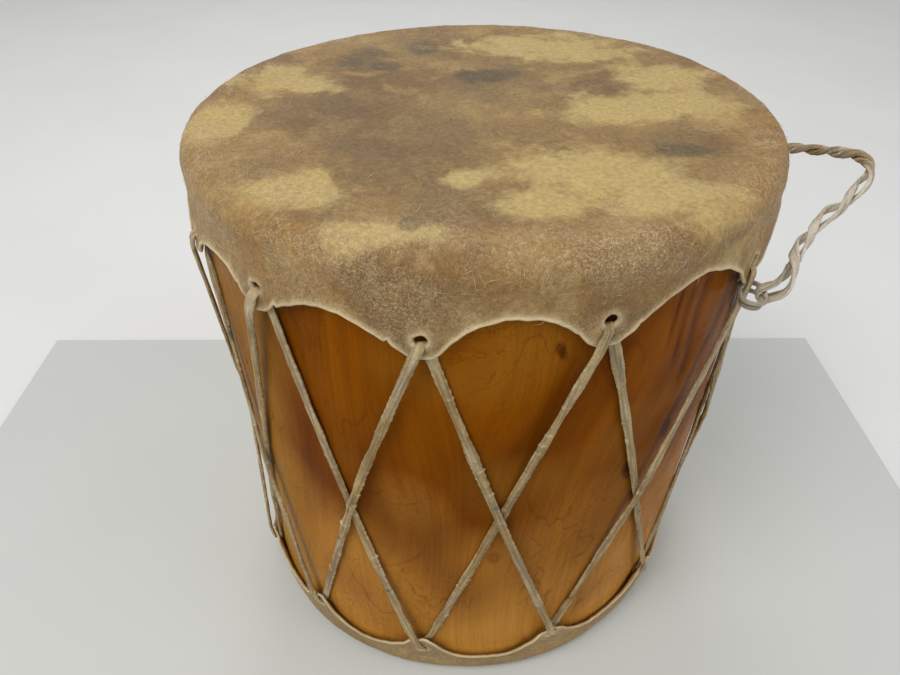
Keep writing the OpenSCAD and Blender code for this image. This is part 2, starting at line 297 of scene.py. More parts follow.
def makeWood():
    made, tree, place = startMaterial("varnishedWood")
    grain = attribute(tree, "grain")
    z = addNode(tree, "SeparateXYZ", {0: place}).outputs[2]
    sheet = addNode(tree, "CombineXYZ", {0: grain, 1: 0.0, 2: z}).outputs[0]
    broad = noise(tree, scaled(tree, sheet, (16, 1, 5)), 1, 3, 0.55, 0.5)
    streak = noise(tree, scaled(tree, sheet, (420, 1, 9)), 1, 4, 0.6, 0.3)
    pores = noise(tree, scaled(tree, sheet, (1900, 1, 150)), 1, 2, 0.6)
    colour = mixed(tree, stretched(tree, broad, 0.36, 0.66), woodLook["deep"], woodLook["amber"])
    colour = mixed(tree, attribute(tree, "low"), colour, woodLook["pale"])
    # painted sheen: a paler pinkish tone over the side left of the first column
    colour = mixed(tree, attribute(tree, "paintedSheen"), colour, woodLook["paintedSheen"])
    shade = stretched(tree, streak, 0.25, 0.75, 0.88, 1.1)
    tone = addNode(tree, "CombineColor", {0: shade, 1: shade, 2: shade}).outputs[0]
    colour = mixed(tree, 1.0, colour, tone, "MULTIPLY")
    swirl = useGroup(tree, contours, {"Vector": scaled(tree, sheet, (24, 1, 11)), "Count": 12.0})
    curl = useGroup(tree, contours, {"Vector": scaled(tree, sheet, (52, 1, 34)), "Count": 7.0})
    worms = useGroup(tree, contours, {"Vector": scaled(tree, sheet, (300, 1, 210)), "Count": 4.0})
    patchy = stretched(tree, noise(tree, place, 14, 2), 0.42, 0.64)
    lines = maths(tree, "MULTIPLY", swirl, stretched(tree, noise(tree, place, 12, 2), 0.38, 0.58, 0.05, 0.4))
    colour = mixed(tree, lines, colour, woodLook["line"])
    curls = maths(tree, "MULTIPLY", curl, maths(tree, "MULTIPLY", patchy, 0.3))
    colour = mixed(tree, curls, colour, woodLook["line"])
    burl = maths(tree, "MULTIPLY", worms, maths(tree, "MULTIPLY", attribute(tree, "burl"), 0.4))
    colour = mixed(tree, burl, colour, woodLook["line"])
    knot = attribute(tree, "knot")
    curled = noise(tree, scaled(tree, sheet, (130, 1, 60)), 1, 4, 0.6, 1.0)
    ring = maths(tree, "PINGPONG", maths(tree, "MULTIPLY", knot, 5.0), 0.5)
    edge = maths(tree, "MULTIPLY_ADD", maths(tree, "SUBTRACT", curled, 0.5), 0.9, knot)
    ring = maths(tree, "MULTIPLY_ADD", ring, 0.7, 0.5)
    dark = maths(tree, "MULTIPLY", stretched(tree, edge, 0.3, 0.75), ring)
    colour = mixed(tree, dark, colour, woodLook["knot"])
    band = maths(tree, "MULTIPLY", attribute(tree, "band"), stretched(tree, streak, 0.3, 0.6, 0.5, 1.0))
    colour = mixed(tree, band, colour, woodLook["line"])
    fine = stretched(tree, pores, 0.58, 0.75, 0.0, 0.35)
    colour = mixed(tree, fine, colour, woodLook["line"])
    cut = scaled(tree, sheet, (60, 1, 900), (0, 0.25, 0))
    scratch = stretched(tree, noise(tree, cut, 1, 1, 0.4, 0.15), 0.76, 0.8)
    scratch = maths(tree, "MULTIPLY", scratch, stretched(tree, noise(tree, place, 22, 1), 0.52, 0.6))
    colour = mixed(tree, maths(tree, "MULTIPLY", scratch, 0.45), colour, rgba(205, 150, 95))
    worn = stretched(tree, noise(tree, place, 60, 4, 0.6), 0.3, 0.8, 0.26, 0.46)
    height = maths(tree, "MULTIPLY_ADD", streak, 0.5, maths(tree, "MULTIPLY", noise(tree, place, 90, 3), 0.6))
    height = maths(tree, "SUBTRACT", height, maths(tree, "MULTIPLY", fine, 0.6))
    endMaterial(tree, colour, worn, height, 0.00035, IOR=woodLook["ior"])
    return made


wood = makeWood()


# Each patch: centre and half sizes in millimetres on the head's face, then how ragged
# its edge is. The two directions are turned by viewTurn from X and Y.
viewTurn = math.radians(18.16)
headPatches = {
    "cream": [
        (46, -72, 43, 24, 1.1),
        (75, -91, 30, 18, 1.0),
        (18, -97, 18, 13, 1.2),
        (67, -2, 38, 18, 1.2),
        (109, 3, 23, 21, 1.1),
        (-130, -25, 15, 26, 1.3),
        (-82, -90, 19, 17, 1.2),
        (-48, -123, 26, 8, 1.2),
        (-110, 28, 24, 22, 1.5),
        (47, 89, 55, 22, 1.5),
        (95, 45, 25, 22, 1.3),
        (-13, -79, 9, 9, 1.2),
    ],
    "grey": [
        (8, 31, 22, 24, 1.1),
        (92, -42, 25, 15, 1.1),
        (-40, -54, 33, 41, 1.3),
        (-77, -11, 34, 35, 1.4),
        (-19, -102, 21, 14, 1.4),
        (-74, -111, 13, 9, 1.4),
        (56, 27, 16, 12, 1.3),
    ],
    "dark": [
        (-66, 76, 11, 12, 1.0),
        (-35, 83, 8, 15, 1.0),
        (-75, 58, 8, 10, 1.2),
        (1, 40, 14, 11, 1.3),
        (83, -50, 14, 7, 1.4),
        (-57, 53, 8, 8, 1.2),
        (-32, -117, 5, 4, 1.5),
    ],
}
hideLook = {
    "olive": rgba(146, 118, 76),
    "brown": rgba(120, 92, 58),
    "tan": rgba(166, 140, 96),
    "cream": rgba(196, 172, 112),
    "grey": rgba(108, 90, 66),
    "dark": rgba(70, 66, 60),
    "warm": rgba(156, 108, 46),
    # partly painted highlight: this pale frost colour also paints the highlight along the rounded rim
    "frostAndHighlight": rgba(212, 190, 152),
    "lip": rgba(216, 198, 158),
}


def makeHide(name, patches):
    made, tree, place = startMaterial(name)
    broad = noise(tree, place, 11, 5, 0.6, 0.5)
    middle = noise(tree, place, 46, 6, 0.62, 0.4)
    fine = noise(tree, place, 420, 5, 0.65)
    colour = mixed(tree, stretched(tree, broad, 0.38, 0.62), hideLook["brown"], hideLook["olive"])
    colour = mixed(tree, stretched(tree, middle, 0.46, 0.64, 0.0, 0.75), colour, hideLook["tan"])
    veins = noise(tree, place, 130, 6, 0.68, 0.8)
    colour = mixed(tree, stretched(tree, veins, 0.55, 0.7, 0.0, 0.5), colour, hideLook["brown"])
    if patches:
        seen = scaled(tree, place, (1, 1, 1), (0, 0, viewTurn))
        for kind, strength in (("grey", 0.5), ("cream", 0.8), ("dark", 0.55)):
            masks = None
            for x, y, wide, long, ragged in patches[kind]:
                inputs = {
                    "Vector": seen,
                    "Centre": (x * 0.001, y * 0.001, 0.3258),
                    "Size": (wide * 0.001, long * 0.001, 0.06),
                    "Ragged": ragged * 2.4,
                }
                mask = useGroup(tree, stain, inputs)
                masks = mask if masks is None else maths(tree, "MAXIMUM", masks, mask)
            masks = maths(tree, "MULTIPLY", masks, strength)
            colour = mixed(tree, masks, colour, hideLook[kind])
    else:
        blotch = stretched(tree, noise(tree, place, 17, 5, 0.6, 0.6), 0.5, 0.66, 0.25, 0.9)
        colour = mixed(tree, blotch, colour, hideLook["cream"])
    rim = attribute(tree, "rim")
    skirt = attribute(tree, "skirt")
    warm = maths(tree, "MULTIPLY", rim, stretched(tree, noise(tree, place, 24, 4, 0.6), 0.4, 0.66, 0.05, 0.5))
    colour = mixed(tree, warm, colour, hideLook["warm"])
    threads = useGroup(tree, fibres, {"Vector": place, "Scale": 1900.0})
    coarse = useGroup(tree, fibres, {"Vector": place, "Scale": 900.0})
    cloud = stretched(tree, noise(tree, place, 34, 5, 0.62), 0.32, 0.66)
    # Pale fibres and frost, weighted up on the rounded rim: real frost on the hide, and on the rim a painted
    # highlight.
    frostAndHighlight = maths(tree, "MAXIMUM", threads, maths(tree, "MULTIPLY", coarse, 0.45))
    frostAndHighlight = maths(tree, "MULTIPLY", frostAndHighlight, cloud)
    weight = maths(tree, "MULTIPLY_ADD", maths(tree, "MAXIMUM", rim, skirt), 0.62, 0.14)
    frostAndHighlight = maths(tree, "MULTIPLY", frostAndHighlight, weight)
    grit = noise(tree, place, 1050, 4, 0.7, 0.4)
    # The pale dust is weighted up on the rim too, which adds to the painted rim highlight.
    worn = maths(tree, "MAXIMUM", rim, skirt)
    dustAndRimHighlight = maths(tree, "MULTIPLY", stretched(tree, cloud, 0.0, 1.0, 0.25, 1.0), worn)
    powder = maths(tree, "MULTIPLY", dustAndRimHighlight, stretched(tree, grit, 0.46, 0.64, 0.0, 0.66))
    colour = mixed(tree, maths(tree, "MAXIMUM", frostAndHighlight, powder), colour, hideLook["frostAndHighlight"])
    speck = stretched(tree, noise(tree, place, 800, 2, 0.5), 0.7, 0.76, 0.0, 0.5)
    colour = mixed(tree, speck, colour, hideLook["frostAndHighlight"])
    shade = stretched(tree, fine, 0.28, 0.74, 0.78, 1.14)
    tone = addNode(tree, "CombineColor", {0: shade, 1: shade, 2: shade}).outputs[0]
    colour = mixed(tree, 1.0, colour, tone, "MULTIPLY")
    lip = attribute(tree, "lip")
    lip = maths(tree, "MULTIPLY", lip, stretched(tree, middle, 0.3, 0.6, 0.45, 0.95))
    colour = mixed(tree, lip, colour, hideLook["lip"])
    height = maths(tree, "MULTIPLY_ADD", fine, 0.35, maths(tree, "MULTIPLY", middle, 1.6))
    height = maths(tree, "MULTIPLY_ADD", frostAndHighlight, 0.3, height)
    height = maths(tree, "MULTIPLY_ADD", coarse, 0.12, height)
    height = maths(tree, "MULTIPLY_ADD", grit, 0.45, maths(tree, "MULTIPLY_ADD", veins, 0.9, height))
    roughness = stretched(tree, middle, 0.3, 0.75, 0.42, 0.68)
    endMaterial(tree, colour, roughness, height, 0.0006, IOR=1.28)
    return made


hideUpper = makeHide("rawhideUpper", headPatches)
hideLower = makeHide("rawhideLower", None)

thongLook = {
    "khaki": rgba(184, 156, 102),
    "dark": rgba(150, 120, 72),
    "pale": rgba(208, 190, 152),
    "grey": rgba(138, 124, 104),
    "spot": rgba(66, 54, 42),
    # painted shade: the colour that darkens the crease grooves
    "creaseShade": rgba(104, 82, 50),
    "white": rgba(214, 206, 190),
}


def makeThong(name, base, dark):
    made, tree, place = startMaterial(name)
    along = attribute(tree, "along")
    across = attribute(tree, "across")
    strip = addNode(tree, "CombineXYZ", {0: along, 1: across, 2: 0.0}).outputs[0]
    broad = noise(tree, place, 40, 4, 0.6)
    streak = noise(tree, scaled(tree, strip, (60, 6, 1)), 1, 4, 0.6, 0.4)
    fine = noise(tree, place, 1100, 4, 0.65)
    colour = mixed(tree, stretched(tree, broad, 0.36, 0.68), dark, base)
    colour = mixed(tree, stretched(tree, streak, 0.5, 0.78, 0.0, 0.6), colour, thongLook["pale"])
    colour = mixed(tree, attribute(tree, "fray"), colour, thongLook["pale"])
    colour = mixed(tree, attribute(tree, "light"), colour, thongLook["white"])
    threads = useGroup(tree, fibres, {"Vector": place, "Scale": 1300.0})
    colour = mixed(tree, maths(tree, "MULTIPLY", threads, 0.35), colour, thongLook["white"])
    spots = stretched(tree, noise(tree, place, 95, 3, 0.6), 0.66, 0.72, 0.0, 0.75)
    colour = mixed(tree, spots, colour, thongLook["spot"])
    shade = stretched(tree, fine, 0.25, 0.8, 0.8, 1.16)
    tone = addNode(tree, "CombineColor", {0: shade, 1: shade, 2: shade}).outputs[0]
    colour = mixed(tree, 1.0, colour, tone, "MULTIPLY")
    # The low grooves of the crease bump get a darker colour: painted shade in the creases.
    creaseShade = noise(tree, scaled(tree, strip, (30, 3.2, 1)), 1, 3, 0.6, 0.5)
    dent = stretched(tree, creaseShade, 0.4, 0.52)
    colour = mixed(tree, maths(tree, "MULTIPLY_ADD", dent, -0.4, 0.4), colour, thongLook["creaseShade"])
    height = maths(tree, "MULTIPLY_ADD", streak, 1.2, maths(tree, "MULTIPLY", fine, 0.5))
    height = maths(tree, "MULTIPLY_ADD", dent, 0.8, height)
    height = maths(tree, "MULTIPLY_ADD", threads, 0.25, height)
    roughness = stretched(tree, broad, 0.3, 0.7, 0.45, 0.7)
    endMaterial(tree, colour, roughness, height, 0.0005, Specular_IOR_Level=0.3)
    return made


laceHide = makeThong("rawhideLace", thongLook["khaki"], thongLook["dark"])
loopHide = makeThong("rawhideLoop", thongLook["grey"], thongLook["dark"])
print("materials made")


shellLook = {
    "around": 400,
    "outerRows": 165,
    "unevenness": 0.22,
    # Each knot: angle, height, radius, then how far the grain bends round it.
    "knots": [
        (-47.5, 281, 6, 0.5),
        (-16.5, 262, 12, 0.55),
        (21.8, 199, 9, 0.6),
        (13.0, 182, 8, 0.6),
        (-5.5, 279, 5, 0.5),
        (-19.3, 173, 6, 0.5),
        (-36, 150, 8, 0.5),
        (64, 140, 9, 0.6),
        (118, 210, 10, 0.6),
        (165, 120, 12, 0.6),
        (205, 230, 7, 0.5),
        (252, 160, 10, 0.6),
    ],
    "darkKnots": [2, 3, 4, 7, 9],
    # Each dark band: angle, half width in degrees, lowest and highest point.
    "bands": [(17.2, 0.7, 240, 312), (20.5, 1.1, 225, 312), (14.8, 0.5, 262, 312), (96, 1.0, 60, 200)],
}


def makeShell():
    low, high = outerSkin, drum["total"] - outerSkin
    edge, wall = drum["rimRound"], drum["wall"]
    bend = np.radians([90, 60, 30, 0])
    rise = np.linspace(low + edge, high - edge, shellLook["outerRows"])
    profile = np.concatenate([
        np.stack([np.zeros(len(rise)), rise], -1),
        np.stack([-edge + edge * np.sin(bend[1:]), high - edge + edge * np.cos(bend[1:])], -1),
        np.stack([np.full(5, -wall), np.linspace(high, low, 5)], -1),
        np.stack([-edge + edge * np.sin(bend[::-1][:-1]), low + edge - edge * np.cos(bend[::-1][:-1])], -1),
    ])
    angle = np.linspace(-180, 180, shellLook["around"], endpoint=False)[None]
    off, z = profile[:, :1], profile[:, 1:]
    points = placed(angle, off, z)
    outer = (off == 0) & (z > 30) & (z < 296)
    slim = points * np.array([1, 1, 0.3])
    relief = wobble(slim, 70, 3) * 0.6 + wobble(slim, 22, 4) * 0.3 + wobble(slim, 9, 5) * 0.12
    relief = np.where(outer, relief * shellLook["unevenness"] - 0.15, 0)
    u = meanRadius * np.radians(angle) + np.zeros_like(points[..., 2])
    height = points[..., 2]
    knot = np.zeros_like(u)
    bent = u + wobble(points * np.array([1, 1, 0.45]), 110, 11) * 7
    for i, (at, up, radius, strength) in enumerate(shellLook["knots"]):
        aside = meanRadius * np.radians((angle - at + 180) % 360 - 180)
        near = np.exp(-((aside / radius / 1.7) ** 2 + ((height - up) / radius / 3.2) ** 2))
        bent = bent - aside * strength * near
        if i in shellLook["darkKnots"]:
            tilt = aside + 0.25 * (height - up)
            core = np.exp(-((tilt / radius / 0.5) ** 2 + ((height - up) / radius / 1.25) ** 2))
            knot = np.maximum(knot, core)
    band = np.zeros_like(u)
    for at, wide, bottom, top in shellLook["bands"]:
        aside = ((angle + wobble(points, 60, 17) * 0.25 - at + 180) % 360 - 180) / wide
        ends = np.clip((height - bottom) / 15, 0, 1) * np.clip((top - height) / 6, 0, 1)
        band = np.maximum(band, np.exp(-(aside**2)) * ends)
    relief = relief - 0.5 * band * outer - 0.3 * knot * outer
    points = placed(angle, off + relief, z)
    # The lower part is paler. The side left of the first column gets a paler pinkish tone that is painted
    # sheen, the varnish's sheen at that viewing angle.
    lowPart = np.clip((190 - height) / 150 + wobble(points, 80, 21) * 0.12, 0, 1) * 0.72
    paintedSheen = np.clip((-50 - angle) / 14, 0, 1) * np.clip((angle + 150) / 30, 0, 1)
    paintedSheen = np.clip(paintedSheen * 0.75 + wobble(points, 60, 23) * 0.1, 0, 1) + np.zeros_like(u)
    burl = np.clip(wobble(points, 90, 29) * 0.8, 0, 1)
    for at, up, radius in ((-17, 290, 26), (-30, 180, 30), (-45, 290, 20)):
        aside = meanRadius * np.radians((angle - at + 180) % 360 - 180)
        burl = np.maximum(burl, np.exp(-(aside**2 + (height - up) ** 2) / radius**2))
    rows = len(profile)
    attributes = {"grain": bent * 0.001, "low": lowPart, "paintedSheen": paintedSheen, "knot": knot, "band": band, "burl": burl}
    faces = gridFaces(rows, shellLook["around"], closedRows=True)
    piece = makePiece("woodShell", points.reshape(-1, 3), faces.tolist(), wood, attributes)
    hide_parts("shell")
    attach(piece, "drum")
    return piece


makeShell()


headLook = {
    "discRows": 13,
    "skirtTop": 8,
    "skirtLow": 21,
    "fineStep": 0.25,
    "coarseCount": 33,
    "fineReach": 4.5,
    "lipSteps": 4,
    "lipSwell": 0.1,
}


def headAngles(upper):
    reach, parts = headLook["fineReach"], []
    for i in range(drum["columns"]):
        here, after = holeAngle(i, upper), holeAngle(i + 1, upper)
        parts.append(np.arange(here - reach, here + reach - 1e-6, headLook["fineStep"]))
        parts.append(np.linspace(here + reach, after - reach, headLook["coarseCount"], endpoint=False))
    return np.concatenate(parts)


def nearestHole(angle, upper):
    # For each angle: its hole's number and the distance to it round the drum.
    holes = np.array([holeAngle(i, upper) for i in range(drum["columns"])])
    aside = (angle[..., None] - holes + 180) % 360 - 180
    which = np.argmin(np.abs(aside), -1)
    turned = np.take_along_axis(aside, which[..., None], -1)[..., 0]
    return which, np.radians(turned) * meanRadius


def edgeDepth(angle, upper):
    # Between two ears the edge is an arc of a circle; an ear's end is a blunt round tip.
    # The two meet in a small fillet: a soft minimum of both depths.
    scallops = drum["upperScallop" if upper else "lowerScallop"]
    depth = np.full(angle.shape, 99.0)
    for i, top in enumerate(scallops):
        here, after = holeAngle(i, upper), holeAngle(i + 1, upper)
        aside = np.radians((angle - (here + after) / 2 + 180) % 360 - 180) * meanRadius
        half = np.radians((after - here) / 2) * meanRadius - drum["earWidth"] / 2
        rise = drum["earDepth"] - top
        radius = (half**2 + rise**2) / (2 * rise)
        arc = top + radius - np.sqrt(np.maximum(radius**2 - aside**2, 0))
        depth = np.where(np.abs(aside) < half, arc, depth)
    which, aside = nearestHole(angle, upper)
    drops = np.array(drum["upperDrop" if upper else "lowerDrop"])[which]
    tip = drum["earDepth"] - 0.4 + np.minimum(drops, 0) * 0.5 - 0.07 * aside**2
    tip = np.where(np.abs(aside) < 12, tip, 99.0)
    return -np.log(np.exp(-1.1 * depth) + np.exp(-1.1 * tip)) / 1.1


def closedSheet(points, cells, thickness, swell, steps):
    # Both faces of a sheet and a rounded lip along every open edge, holes included.
    rows, columns = points.shape[:2]
    across = np.roll(points, -1, 1) - np.roll(points, 1, 1)
    down = np.gradient(points, axis=0)
    normals = unit(np.cross(down, across)).reshape(-1, 3)
    outer = points.reshape(-1, 3)
    count = len(outer)
    quads = gridFaces(rows, columns)[cells.ravel()][:, ::-1]
    edges = np.stack([quads, np.roll(quads, -1, 1)], -1).reshape(-1, 2)
    single = ~np.isin(edges[:, 0] * count + edges[:, 1], edges[:, 1] * count + edges[:, 0])
    edges = edges[single]
    way = np.cross(outer[edges[:, 1]] - outer[edges[:, 0]], normals[edges[:, 0]])
    outward = np.zeros_like(outer)
    np.add.at(outward, edges[:, 0], way)
    np.add.at(outward, edges[:, 1], way)
    rimmed = np.unique(edges)
    place = np.full(count, -1)
    place[rimmed] = np.arange(len(rimmed))
    outward = unit(outward[rimmed])
    half = thickness.reshape(-1)[rimmed][:, None] / 2
    middle = outer[rimmed] - normals[rimmed] * half
    inner = outer - normals * thickness.reshape(-1, 1)
    stack, faces = [outer, inner], [quads, quads[:, ::-1] + count]
    rings = [edges]
    for k in range(1, steps):
        bend = math.pi * k / steps
        ring = middle + normals[rimmed] * half * math.cos(bend) + outward * (half + swell) * math.sin(bend)
        rings.append(place[edges] + 2 * count + (k - 1) * len(rimmed))
        stack.append(ring)
    rings.append(edges + count)
    for near, far in zip(rings, rings[1:]):
        faces.append(np.stack([near[:, 1], near[:, 0], far[:, 0], far[:, 1]], -1))
    sources = np.concatenate([np.arange(count), np.arange(count)] + [rimmed] * (steps - 1))
    return np.concatenate(stack), np.concatenate(faces), sources


def makeHead(upper):
    base = headAngles(upper)
    columns = len(base)
    total, rimOut = drum["total"], drum["rimRound"] + outerSkin
    edge = edgeDepth(base, upper)
    ring = placed(base, 0, 0)
    seed = 40 if upper else 60
    edge = edge + 0.2 * wobble(ring, 7, seed) + 0.35 * wobble(ring, 34, seed + 1)
    edge = np.minimum(edge, drum["earDepth"])
    share = np.concatenate([
        np.linspace(0, 0.52, headLook["skirtTop"] + 1)[1:],
        np.linspace(0.52, 1, headLook["skirtLow"] + 1)[1:],
    ])[:, None]
    depth = rimOut + (edge[None] - rimOut) * share
    angle = np.broadcast_to(base, depth.shape).copy()
    which, aside = nearestHole(angle, upper)
    drops = np.array(drum["upperDrop" if upper else "lowerDrop"])
    # Cells inside a hole go, and the vertices round it move onto its oval.
    lean = np.random.default_rng(seed).uniform(-0.5, 0.5, drum["columns"])[which]
    below = depth - (drum["holeDepth"] - 0.9 + drops[which])
    halfWide, halfTall = 3.5, 3.6
    cosine, sine = np.cos(lean), np.sin(lean)
    turned = np.stack([aside * cosine + below * sine, below * cosine - aside * sine], -1)
    away = np.hypot(turned[..., 0] / halfWide, turned[..., 1] / halfTall)
    centre = (away[:-1] + away[1:] + np.roll(away, -1, 1)[:-1] + np.roll(away, -1, 1)[1:]) / 4
    kept = centre > 1
    gone = ~kept
    touched = np.zeros(depth.shape, bool)
    whole = np.zeros(depth.shape, bool)
    for mask, result in ((gone, touched), (kept, whole)):
        for move in (0, 1):
            cells = np.roll(mask, move, 1)
            result[:-1] |= cells
            result[1:] |= cells
    border = touched & whole
    factor = np.where(border, 1 / np.maximum(away, 0.2), 1)
    below2, aside2 = below * factor, aside * factor
    depth = depth + below2 - below
    angle = angle + np.degrees((aside2 - aside) / meanRadius)
    away = np.where(border, 1, away)
    aside = aside2
    toEdge = edge[None] - depth
    toHole = (away - 1) * halfWide
    # Folds run up from each ear, the edge curls out and each hole has a raised lip.
    pull = np.clip((depth - rimOut) / 20, 0, 1)
    folds = 0.4 * np.cos(aside * 2 * math.pi / 7.5 + which) * np.exp(-np.abs(aside) / 7) * pull
    curl = 0.8 * np.exp(-toEdge / 1.5) * np.clip((np.abs(aside) - 5) / 4, 0.15, 1)
    lipUp = 0.55 * np.exp(-((toHole / 1.5) ** 2)) * np.clip(-below / 3 + 0.4, 0, 1)
    flare = skirtSpace(depth) + drum["hide"] + folds + curl + lipUp
    skirt = placed(angle, flare, total - depth)
    inner = np.linspace(0.02, 1, headLook["discRows"])[:, None, None]
    flat = placed(base, outerSkin - rimOut, total)[None] * np.array([1, 1, 0]) * inner
    flat = flat + np.array([0, 0, total])
    bend = np.radians(np.linspace(0, 90, 8)[1:])[:, None]
    aroundRim = outerSkin - rimOut + rimOut * np.sin(bend)
    corner = placed(base[None], aroundRim, total - rimOut + rimOut * np.cos(bend))
    points = np.concatenate([flat, corner, skirt])
    rows = len(points)
    slack = sum(
        height * wobble(points, size, seed + k)
        for size, height, k in ((60, 0.16, 2), (20, 0.1, 3), (8, 0.05, 4))
    )
    slack[: headLook["discRows"]] *= 1.4
    down = np.gradient(points, axis=0)
    across = np.roll(points, -1, 1) - np.roll(points, 1, 1)
    normals = unit(np.cross(down, across))
    if not upper:
        slack[: headLook["discRows"] + 4] = -np.abs(slack[: headLook["discRows"] + 4]) * 0.5
    points = points + normals * slack[..., None]
    thickness = np.full(points.shape[:2], drum["hide"])
    thickness[-len(depth) :] -= 0.75 * np.exp(-toEdge / 2.5)
    holeRows = len(depth)
    cells = np.ones((rows - 1, columns), bool)
    cells[-(holeRows - 1) :] = kept
    everything, faces, sources = closedSheet(
        points, cells, thickness, headLook["lipSwell"], headLook["lipSteps"]
    )
    top = len(everything)
    centres = np.array([[0, 0, total], [0, 0, total - drum["hide"]]]) * 1.0
    first = np.arange(columns)
    count = rows * columns
    outerFan = np.stack([np.full(columns, top), first, np.roll(first, -1)], -1)
    innerFan = np.stack([np.full(columns, top + 1), np.roll(first, -1) + count, first + count], -1)
    # The first row was an open edge for the sheet: its lip is dropped for the two fans.
    lipFaces = faces[2 * int(cells.sum()) :]
    order = sources[np.minimum(lipFaces, len(sources) - 1)]
    onFirst = (order < columns).all(axis=1)
    faces = np.concatenate([faces[: 2 * int(cells.sum())], lipFaces[~onFirst]])
    zeros = np.zeros((rows - holeRows, columns))
    atHole = 0.85 * np.exp(-np.maximum(toHole, 0) / 0.9)
    lip = np.concatenate([zeros, np.maximum(np.exp(-toEdge), atHole)])
    # The rim weight peaks on the rounded rim and falls down the skirt. Through the frost and dust it paints a
    # pale highlight along the rim, and it also sets the warm tint.
    rimWeight = np.zeros(rows)
    rimWeight[: headLook["discRows"]] = np.linspace(0, 1, headLook["discRows"]) ** 5 * 0.8
    rimWeight[headLook["discRows"] :] = 0.95
    rimWeight[headLook["discRows"] + 9 :] = np.linspace(0.9, 0.35, rows - headLook["discRows"] - 9)
    skirtWeight = np.zeros(rows)
    skirtWeight[headLook["discRows"] :] = np.linspace(0.25, 1, rows - headLook["discRows"])
    attributes = {
        "lip": lip.ravel()[sources],
        "rim": np.repeat(rimWeight, columns)[sources],
        "skirt": np.repeat(skirtWeight, columns)[sources],
    }
    for key in attributes:
        attributes[key] = np.concatenate([attributes[key], [0, 0]])
    everything = np.concatenate([everything, centres])
    sets = [faces, outerFan, innerFan]
    if not upper:
        everything = everything * np.array([1, 1, -1]) + np.array([0, 0, total])
        sets = [each[:, ::-1] for each in sets]
    # Vertices that no face uses, inside the holes, are left out.
    flatList = np.unique(np.concatenate([each.ravel() for each in sets]))
    renumber = np.full(len(everything), -1)
    renumber[flatList] = np.arange(len(flatList))
    allFaces = [face for each in sets for face in renumber[each].tolist()]
    attributes = {key: values[flatList] for key, values in attributes.items()}
    name = "upperRawhide" if upper else "lowerRawhide"
    material = hideUpper if upper else hideLower
    piece = makePiece(name, everything[flatList], allFaces, material, attributes)
    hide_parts("upper_head" if upper else "lower_head")
    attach(piece, "drum")
    return piece


upperHide = makeHead(True)
lowerHide = makeHead(False)
print("heads made")


laceLook = {
    "step": 0.85,
    "sides": 12,
    "widthChange": 0.07,
    "ragged": 0.09,
    "nubs": 0.6,
    "twist": 9.0,
    "thin": 1.2,
    "lean": 0.34,
    "runRings": 7,
}
onShell = drum["clear"] + drum["laceThick"] / 2
overLace = onShell + drum["laceThick"] + 3 * drum["clear"]


def overSkirt(depth):
    return float(skirtSpace(np.array(depth))) + drum["hide"] + drum["clear"] + drum["laceThick"] / 2


def laceStop(i, upper):
    # Up over the ear, into the hole, and away behind the ear: angle, height, off, thickness.
    depth, here = holeDepth(i, upper), holeAngle(i, upper)
    lean, thick, behind = laceLook["lean"], drum["laceThick"], drum["clear"] + laceLook["thin"] / 2
    past = drum["earDepth"] + 1 - depth
    space = float(skirtSpace(np.array(depth)))
    path = [
        (-lean * past, past, overSkirt(drum["earDepth"]), thick),
        (-lean * 7, 7, overSkirt(depth + 7), thick),
        (-1.5, 4.6, overSkirt(depth + 4.6), thick),
        (-0.9, 2.7, overSkirt(depth) - 0.2, 1.9),
        (-0.3, 1.5, space + 1.6, 1.5),
        (0.2, 1.7, behind + 1.0, 1.3),
        (0.9, 2.9, behind + 0.15, 1.2),
        (1.8, 5.2, behind, 1.2),
        (2.8, 8.2, behind + 0.1, 1.4),
        (lean * past + 0.6, past + 0.8, onShell, thick),
    ]
    radius = float(arcRadius(here))
    total = drum["total"]
    return [
        (
            here + math.degrees(side / radius),
            total - depth - down if upper else depth + down,
            off,
            thickness,
        )
        for side, down, off, thickness in path
    ]


def laceRun(start, end, middleOff):
    # Straight from one stop to the next, lifted off the shell where it crosses a lace
    # or climbs over the next ear: the farthest out of the straight lines that it must clear.
    span, lie = end[0] - start[0], meanRadius + onShell
    middle, far, half = meanRadius + middleOff, meanRadius + end[2], (end[0] - start[0]) / 2

    def taut(radius, a):
        touch = math.degrees(math.acos(min(1, lie / radius)))
        return lie / math.cos(math.radians(touch - a)) if a < touch else lie

    def chord(r1, r2, whole, a):
        rise = [math.sin(math.radians(v)) for v in (whole, a, whole - a)]
        return r1 * r2 * rise[0] / (r1 * rise[1] + r2 * rise[2])

    rings = []
    for k in range(1, laceLook["runRings"] * 3):
        part = k / (laceLook["runRings"] * 3)
        a = span * part
        climb = lie if a < half else chord(middle, far, half, a - half)
        out = max(lie, taut(middle, abs(a - half)), climb, taut(far, span - a))
        z = start[1] + (end[1] - start[1]) * part
        rings.append((start[0] + a, z, out - meanRadius, drum["laceThick"]))
    return rings


def smoothed(route, closed=True):
    # A curve through every point of the route: between two points it is a cubic whose
    # slopes at both are half the step between their neighbours.
    route = np.array(route, float)
    n = len(route)
    share = np.linspace(0, 1, 8, endpoint=False)[None, :, None]
    before, after, later = (np.roll(route, k, 0) for k in (1, -1, -2))
    if not closed:
        before[0], after[-1], later[-1], later[-2] = route[0], route[-1], route[-1], route[-1]
    b, a, c, d = (v[:, None] for v in (route, before, after, later))
    dense = b + (c - a) * share / 2 + (a - 2.5 * b + 2 * c - d / 2) * share**2
    dense = dense + (1.5 * b - a / 2 - 1.5 * c + d / 2) * share**3
    dense = (dense if closed else dense[: n - 1]).reshape(-1, route.shape[1])
    return np.concatenate([dense, dense[:1] if closed else route[-1:]])


